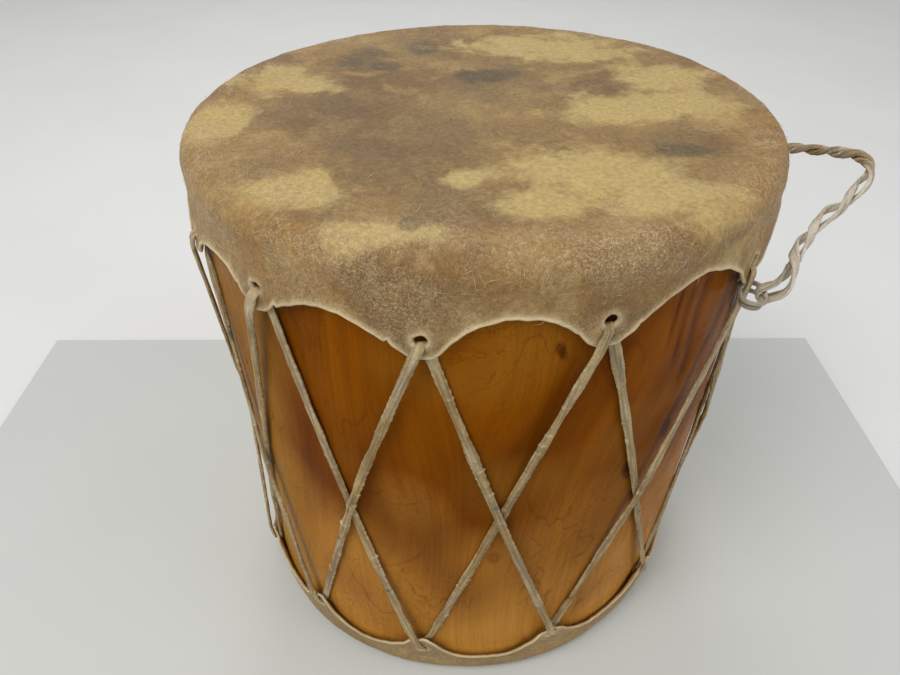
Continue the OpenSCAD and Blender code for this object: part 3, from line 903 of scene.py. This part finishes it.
def evenly(points, values, step):
    gaps = np.linalg.norm(np.diff(points, axis=0), axis=1)
    along = np.concatenate([[0], np.cumsum(gaps)])
    count = int(along[-1] / step)
    at = np.linspace(0, along[-1], count, endpoint=False)
    return [np.stack([np.interp(at, along, column) for column in v.T], -1) for v in (points, values)] + [at]


def makeStrip(name, centre, across, width, thick, seed, material, closed, attributes, look):
    # Each ring is a flattened oval. Its two narrow edges are ragged, with nubs here and there,
    # and the whole strip is turned a little about its own line as it goes.
    along = unit(np.roll(centre, -1, 0) - np.roll(centre, 1, 0) if closed else np.gradient(centre, axis=0))
    across = unit(across - along * (across * along).sum(-1, keepdims=True))
    out = np.cross(along, across)
    lean = np.radians(look["twist"]) * wobble(centre, 55, seed)[:, None]
    across, out = across * np.cos(lean) + out * np.sin(lean), out * np.cos(lean) - across * np.sin(lean)
    sides = look["sides"]
    turn = np.linspace(0, 2 * math.pi, sides, endpoint=False)[None]
    wide = width * (1 + look["widthChange"] * wobble(centre, 26, seed + 1))
    edge = np.cos(turn) ** 6
    jag = wobble(centre + 0.1, 2.6, seed + 2)[:, None] * np.where(np.cos(turn) > 0, 1.0, 0.6)
    sparse = [wobble(centre, 3.2, seed + k) + 0.5 * wobble(centre, 40, seed + k + 2) for k in (3, 4)]
    nub = np.maximum(0, sparse[0] - 1.9)[:, None] * (np.cos(turn) > 0)
    nub = (nub + np.maximum(0, sparse[1] - 2.0)[:, None] * (np.cos(turn) < 0)) * look["nubs"]
    x = (wide[:, None] / 2) * np.cos(turn) + np.sign(np.cos(turn)) * edge * (look["ragged"] * jag + nub)
    flat = np.sign(np.sin(turn)) * np.abs(np.sin(turn)) ** 0.75
    groove = 0.1 * wobble(centre, 14, seed + 5)[:, None] * np.cos(turn * 2 + 0.6)
    y = (thick[:, None] / 2) * (flat + groove)
    points = centre[:, None] + across[:, None] * x[..., None] + out[:, None] * y[..., None]
    count = len(centre)
    faces = gridFaces(count, sides, closedRows=closed)[:, ::-1].tolist()
    flatPoints = points.reshape(-1, 3)
    if not closed:
        flatPoints = np.concatenate([flatPoints, centre[:1], centre[-1:]])
        end = count * sides
        for k in range(sides):
            after = (k + 1) % sides
            faces.append([end, k, after])
            faces.append([end + 1, (count - 1) * sides + after, (count - 1) * sides + k])
    gaps = np.linalg.norm(np.diff(centre, axis=0), axis=1)
    walked = np.concatenate([[0], np.cumsum(gaps)])
    fray = np.clip(edge * (0.35 + 0.4 * jag) + nub * 1.5, 0, 1)
    table = {
        "along": np.repeat(walked * 0.001, sides),
        "across": np.tile(np.cos(turn[0]) * 0.5, count),
        "fray": np.maximum(fray, attributes["fray"][:, None] + 0 * fray).ravel(),
        "light": np.repeat(attributes["light"], sides),
    }
    if not closed:
        table = {key: np.concatenate([v, v[:1], v[-1:]]) for key, v in table.items()}
    return makePiece(name, flatPoints, faces, material, table)


def makeLace(name, node, firstUpper, middleOff, seed):
    route = []
    for i in range(drum["columns"]):
        upper = (i + firstUpper) % 2 == 0
        here, after = laceStop(i, upper), laceStop(i + 1, not upper)
        route += here + laceRun(here[-1], after[0], middleOff)
    route = np.array(route)
    angle = np.radians(route[:, 0])
    offset = np.stack([np.cos(angle), np.sin(angle)], -1)
    circle = placed(route[:, 0], route[:, 2], route[:, 1])
    table = np.column_stack([circle, route[:, 3], offset])
    dense = smoothed(table)
    centre, values = evenly(dense[:, :3], dense[:, 3:], laceLook["step"])[:2]
    thick = values[:, 0]
    across = np.column_stack([values[:, 1], values[:, 2], np.zeros(len(centre))])
    total = drum["total"]
    fromEnd = np.minimum(centre[:, 2], total - centre[:, 2])
    start = np.clip((fromEnd - 46) / 26, 0, 1)
    fray = (1 - start) * (0.25 + 0.35 * np.clip(wobble(centre, 16, seed + 7), 0, 1))
    bunched = 1 + 0.12 * np.exp(-(((fromEnd - 42) / 5) ** 2)) - 0.1 * (fromEnd < 38)
    width = drum["laceWidth"] * 0.97 * bunched
    light = 0.16 * np.clip(wobble(centre, 48, seed + 8), 0, 1)
    shown = {"fray": fray, "light": light}
    piece = makeStrip(name, centre, across, width, thick, seed, laceHide, True, shown, laceLook)
    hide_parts(node)
    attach(piece, "drum")
    return piece


makeLace("firstLacing", "first_lace", 1, onShell, 80)
makeLace("secondLacing", "second_lace", 0, overLace, 95)


loopLook = {
    "strand": 3.4,
    "tie": 2.4,
    "reach": 57.5,
    "rise": 32.0,
    "tieBack": 3.3,
    "nearBar": 6.0,
    "farBar": 8.0,
    "nearAside": -2.5,
    "farAside": 4.3,
    "foldShift": 1.2,
    # Share of the way between the pins, then share of the reach.
    "shape": [
        (0, 0), (0.012, 0.11), (0.06, 0.2), (0.14, 0.27), (0.22, 0.38), (0.3, 0.55),
        (0.36, 0.75), (0.43, 0.91), (0.5, 0.99), (0.57, 1), (0.64, 0.93), (0.71, 0.79),
        (0.79, 0.63), (0.87, 0.44), (0.94, 0.25), (0.988, 0.11), (1, 0),
    ],
    # Length of a half turn of the two strands, on the arm near the viewer and the other.
    "nearHalfTurn": 23.0,
    "farHalfTurn": 14.5,
    "turnStart": 0.4,
    # Where the strands stand apart: share of the loop, half length as a share, extra radius.
    "open": [(0.33, 0.04, 1.5), (0.2, 0.04, 0.4), (0.44, 0.03, 0.6)],
    "stripLook": {"sides": 12, "widthChange": 0.12, "ragged": 0.12, "nubs": 0.45, "twist": 10.0},
}
earDepth = drum["earDepth"]
tieDepth = earDepth + loopLook["tie"] / 2 + 1
eyeRadius = loopLook["tie"] / 2 + 0.35 + loopLook["strand"] / 2
tieSpan = loopLook["tieBack"] + drum["laceThick"] + drum["clear"] + eyeRadius + loopLook["strand"] / 2


def heldLace(i):
    here = holeAngle(i, True)
    slip = laceLook["lean"] * (tieDepth - holeDepth(i, True))
    angle = here - math.degrees(slip / float(arcRadius(here)))
    return placed(angle, overSkirt(earDepth) - 0.3, drum["total"] - tieDepth)


laceNear, laceFar = heldLace(4), heldLace(6)
line = unit(laceFar - laceNear)
outward = np.array([line[1], -line[0], 0])
pinNear = laceNear + line * loopLook["nearAside"] + outward * (tieSpan - loopLook["tieBack"])
pinFar = laceFar + line * loopLook["farAside"] + outward * (tieSpan - loopLook["tieBack"])
rise = math.radians(loopLook["rise"])
loopUp = outward * math.cos(rise) + np.array([0, 0, math.sin(rise)])
loopSide = np.cross(line, loopUp)


def loopRoute():
    # The middle line is a curve in the loop's plane; the strands wind round it.
    table = np.array(loopLook["shape"])
    shape = smoothed(np.column_stack([table, table[:, :1]]), closed=False)[:, :2]
    span = np.linalg.norm(pinFar - pinNear)
    middle = pinNear + shape[:, :1] * span * line + shape[:, 1:] * loopLook["reach"] * loopUp
    middle, walked = evenly(middle, middle, 0.8)[::2]
    whole = walked[-1]
    keep = (walked > 5.5) & (walked < whole - 5.5)
    middle, walked = middle[keep], walked[keep]
    share = (walked - walked[0]) / (walked[-1] - walked[0])
    half = np.where(share < 0.5, loopLook["nearHalfTurn"], loopLook["farHalfTurn"])
    half = np.convolve(np.pad(half, 12, mode="edge"), np.ones(25) / 25, "valid")
    turned = np.cumsum(math.pi / half) * 0.8
    turned *= round((turned[-1] + loopLook["turnStart"]) / (2 * math.pi)) * 2 * math.pi / turned[-1]
    along = unit(np.gradient(middle, axis=0))
    inward = np.cross(loopSide, along)
    pair = loopLook["strand"] / 2 - 0.1 + np.where(share < 0.5, 0.25, -0.15)
    for at, wide, extra in loopLook["open"]:
        pair = pair + extra * np.exp(-(((share - at) / wide) ** 2))
    near = np.clip(np.minimum(share, 1 - share) * 16, 0, 1)
    near = near * near * (3 - 2 * near)
    radius = (eyeRadius + (pair - eyeRadius) * near)[:, None]
    around = loopSide * np.cos(turned)[:, None] + inward * np.sin(turned)[:, None]
    return middle, share, around, radius


def eyeArc(pin, shift, start, end, count):
    a = np.radians(np.linspace(start, end, count))[:, None]
    radial = loopSide * np.cos(a) + loopUp * np.sin(a)
    return pin + line * shift + eyeRadius * radial, radial


def makeLoop():
    middle, share, around, radius = loopRoute()
    gap = loopLook["strand"] / 2 + 0.2
    parts = [
        (*eyeArc(pinFar, -gap, -265, -8, 60), np.ones(60)),
        ((middle + around * radius)[::-1], around[::-1], share[::-1]),
        (*eyeArc(pinNear, loopLook["foldShift"], -8, -172, 40), np.zeros(40)),
        (middle - around * radius, -around, share),
        (*eyeArc(pinFar, gap, -172, 85, 60), np.ones(60)),
    ]
    centre = np.concatenate([p[0] for p in parts])
    facing = np.concatenate([p[1] for p in parts])
    where = np.concatenate([p[2] for p in parts])
    centre, values = evenly(centre, np.column_stack([facing, where]), 0.7)[:2]
    facing, where = values[:, :3], values[:, 3]
    kernel = np.ones(5) / 5
    centre = np.stack([np.convolve(np.pad(c, 2, mode="edge"), kernel, "valid") for c in centre.T], -1)
    tangent = unit(np.gradient(centre, axis=0))
    across = np.cross(facing, tangent)
    nearArm = np.clip((0.56 - where) / 0.12, 0, 1)
    width = loopLook["strand"] * (1.0 + 0.16 * nearArm + 0.2 * np.exp(-((where / 0.07) ** 2)))
    thick = loopLook["strand"] * (0.86 - 0.26 * nearArm)
    light = np.clip(0.12 + 0.62 * nearArm + 0.15 * wobble(centre, 18, 131), 0, 1)
    shown = {"fray": 0.1 + 0.2 * np.clip(wobble(centre, 12, 133), 0, 1), "light": light}
    piece = makeStrip(
        "twistedLoop", centre, across, width, thick, 120, loopHide, False, shown, loopLook["stripLook"]
    )
    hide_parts("carrying_loop")
    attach(piece, "loop")
    return piece


def linkPath(span, bar, count):
    # Round a link once: out along the front bar, round a half circle, back and round again.
    around = math.pi * span
    whole = 2 * bar + around
    s = np.linspace(0, whole, count, endpoint=False)
    x, y = np.zeros(count), np.zeros(count)
    front = s < bar
    first = (s >= bar) & (s < bar + around / 2)
    back = (s >= bar + around / 2) & (s < 2 * bar + around / 2)
    last = s >= 2 * bar + around / 2
    bend = (s - bar) / (span / 2)
    x = np.where(front, s - bar / 2, x)
    x = np.where(first, bar / 2 + span / 2 * np.sin(bend), x)
    y = np.where(first, span / 2 * (1 - np.cos(bend)), y)
    x = np.where(back, bar / 2 - (s - bar - around / 2), x)
    y = np.where(back, span, y)
    bend = (s - 2 * bar - around / 2) / (span / 2)
    x = np.where(last, -bar / 2 - span / 2 * np.sin(bend), x)
    y = np.where(last, span / 2 * (1 + np.cos(bend)), y)
    return x, y


def makeTie(name, node, pin, bar, seed):
    # A thin thong wound twice: one turn holds the loop's eye and one lies just below it.
    look = {"sides": 10, "widthChange": 0.1, "ragged": 0.08, "nubs": 0.4, "twist": 8.0}
    for k, (drop, narrow) in enumerate(((0.0, 0.0), (-3.4, 1.2))):
        x, y = linkPath(tieSpan - narrow * 2, bar, 90)
        sag = 0.35 * np.sin(np.linspace(0, 2 * math.pi, 90) + k * 2)
        centre = pin + line * x[:, None] - outward * (y[:, None] + narrow)
        centre = centre + np.array([0, 0, 1]) * (drop + sag * (k > 0))[:, None]
        across = np.broadcast_to(np.array([0.0, 0.0, 1.0]), centre.shape)
        width = np.full(90, loopLook["tie"] * (1.0 if k == 0 else 0.95))
        thick = np.full(90, loopLook["tie"] * (0.85 if k == 0 else 0.55))
        shown = {"fray": np.full(90, 0.25), "light": np.full(90, 0.62)}
        turn = makeStrip(
            f"{name}{k + 1}", centre, across, width, thick, seed + 20 * k, loopHide, True, shown, look
        )
        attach(turn, "drum")
    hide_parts(node)


makeLoop()
makeTie("nearWrap", "near_tie", pinNear, loopLook["nearBar"], 140)
makeTie("farWrap", "far_tie", pinFar, loopLook["farBar"], 180)
print("laces, ties and loop made")


hairLook = {
    "count": 520,
    "length": (2.5, 8.0),
    "thickness": 0.1,
    "colour": rgba(226, 212, 184),
}


def onHead(angle, path, lift):
    # Along the head's section: negative on the face, then round the rim, then down the skirt.
    rimOut, total = drum["rimRound"] + outerSkin, drum["total"]
    bend = np.clip(path / rimOut, 0, math.pi / 2)
    depth = np.maximum(path - rimOut * math.pi / 2, 0) + rimOut
    lifted = rimOut + lift
    off = outerSkin - rimOut + lifted * np.sin(bend) + np.minimum(path, 0)
    off = np.where(bend >= math.pi / 2, skirtSpace(depth) + drum["hide"] + lift, off)
    z = np.where(bend >= math.pi / 2, total - depth, total - rimOut + lifted * np.cos(bend))
    return placed(angle, off, z)


def makeHairs():
    random = np.random.default_rng(7)
    n, joints = hairLook["count"], 6
    made, tree, place = startMaterial("paleHair")
    tone = mixed(tree, noise(tree, place, 60, 2), rgba(176, 150, 108), hairLook["colour"])
    endMaterial(tree, tone, 0.6, None, 0)
    angle = random.uniform(-180, 180, n)
    path = np.where(random.random(n) < 0.45, random.uniform(-45, 12, n), random.uniform(8, 34, n))
    way = random.uniform(0, 2 * math.pi, n)
    size = random.uniform(*hairLook["length"], n)
    curl = random.normal(0, 0.9, n)
    t = np.linspace(-0.5, 0.5, joints)[None]
    turn = way[:, None] + curl[:, None] * t
    x = size[:, None] * t * np.cos(turn)
    y = size[:, None] * t * np.sin(turn)
    lift = 0.28 + 0.35 * (t + 0.5) ** 2
    centre = onHead(angle[:, None] + np.degrees(x / meanRadius), path[:, None] + y, lift)
    along = unit(np.gradient(centre, axis=1))
    first = unit(np.cross(along, np.array([0.3, 0.5, 0.8])))
    second = np.cross(along, first)
    a = np.radians([0, 120, 240])[None, None, :, None]
    thin = hairLook["thickness"] * (1.1 - 1.6 * np.abs(t))[..., None, None]
    points = centre[:, :, None] + thin * (first[:, :, None] * np.cos(a) + second[:, :, None] * np.sin(a))
    index = np.arange(n * joints * 3).reshape(n, joints, 3)
    near, far = index[:, :-1], index[:, 1:]
    quads = np.stack([near, np.roll(near, -1, 2), np.roll(far, -1, 2), far], -1).reshape(-1, 4)
    ends = np.concatenate([index[:, 0, ::-1], index[:, -1]])
    faces = quads.tolist() + ends.tolist()
    piece = makePiece("paleHairs", points.reshape(-1, 3), faces, made)
    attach(piece, "drum")


makeHairs()


stageLook = {
    "board": rgba(203, 206, 204),
    "table": rgba(232, 233, 234),
    "worldStrength": 0.5,
    "keyPower": 16.0,
    "fillPower": 5.5,
    "sheenPower": 6.0,
}


def stagePiece(name, points, colour, roughness):
    mesh = bpy.data.meshes.new(name)
    mesh.from_pydata(points, [], [[0, 1, 2, 3]])
    made, tree, place = startMaterial(name + "Paint")
    tone = stretched(tree, noise(tree, place, 5, 3), 0.3, 0.7, 0.97, 1.0)
    shade = addNode(tree, "CombineColor", {0: tone, 1: tone, 2: tone}).outputs[0]
    endMaterial(tree, mixed(tree, 1.0, colour, shade, "MULTIPLY"), roughness, None, 0)
    mesh.materials.append(made)
    piece = bpy.data.objects.new(name, mesh)
    bpy.context.scene.collection.objects.link(piece)
    return piece


def makeStage():
    corner = np.array([-0.341, 0.305, -0.0002])
    side, front = np.array([0.959, -0.284, 0]), np.array([-0.292, -0.956, 0])
    corners = [corner, corner + front * 1.1, corner + front * 1.1 + side * 0.776, corner + side * 0.776]
    stagePiece("greyBoard", [tuple(c) for c in corners], stageLook["board"], 0.55)
    table = [(-4, 5, -0.006), (-4, -3, -0.006), (5, -3, -0.006), (5, 5, -0.006)]
    stagePiece("whiteTable", table, stageLook["table"], 0.6)


def addLight(name, place, aim, size, power, colour):
    data = bpy.data.lights.new(name, "AREA")
    data.shape, data.size, data.energy, data.color = "DISK", size, power, colour
    lamp = bpy.data.objects.new(name, data)
    lamp.location = place
    lamp.rotation_euler = (Vector(aim) - Vector(place)).to_track_quat("-Z", "Y").to_euler()
    bpy.context.scene.collection.objects.link(lamp)


makeStage()
world = bpy.data.worlds.new("softRoom")
world.use_nodes = True
world.node_tree.nodes["Background"].inputs[0].default_value = (1.0, 0.995, 0.965, 1)
world.node_tree.nodes["Background"].inputs[1].default_value = stageLook["worldStrength"]
bpy.context.scene.world = world
addLight("key", (-0.9, -0.5, 1.6), (0, 0, 0.15), 0.9, stageLook["keyPower"], (1, 0.98, 0.95))
addLight("fill", (1.2, -1.1, 1.0), (0, 0, 0.1), 1.0, stageLook["fillPower"], (1, 1, 1))
addLight("sheen", (0.25, 1.3, 1.5), (0, 0, 0.3), 0.8, stageLook["sheenPower"], (1, 0.99, 0.97))

scene = bpy.context.scene
scene.view_settings.view_transform = "Standard"
lens = bpy.data.cameras.new("photoView")
lens.lens, lens.sensor_width = 27.02, 36.0
lens.clip_start, lens.clip_end = 0.02, 30
camera = bpy.data.objects.new("photoView", lens)
yaw, pitch, roll = (math.radians(v) for v in (18.16, 40.71, 0.93))
forward = Vector((math.sin(yaw) * math.cos(pitch), math.cos(yaw) * math.cos(pitch), -math.sin(pitch)))
right = Vector((math.cos(yaw), -math.sin(yaw), 0))
upright = right.cross(forward)
sideways = right * math.cos(roll) + upright * math.sin(roll)
upward = upright * math.cos(roll) - right * math.sin(roll)
turned = Matrix((sideways, upward, -forward)).transposed().to_4x4()
camera.matrix_world = Matrix.Translation((-0.1203, -0.3138, 0.4587)) @ turned
scene.collection.objects.link(camera)
scene.camera = camera
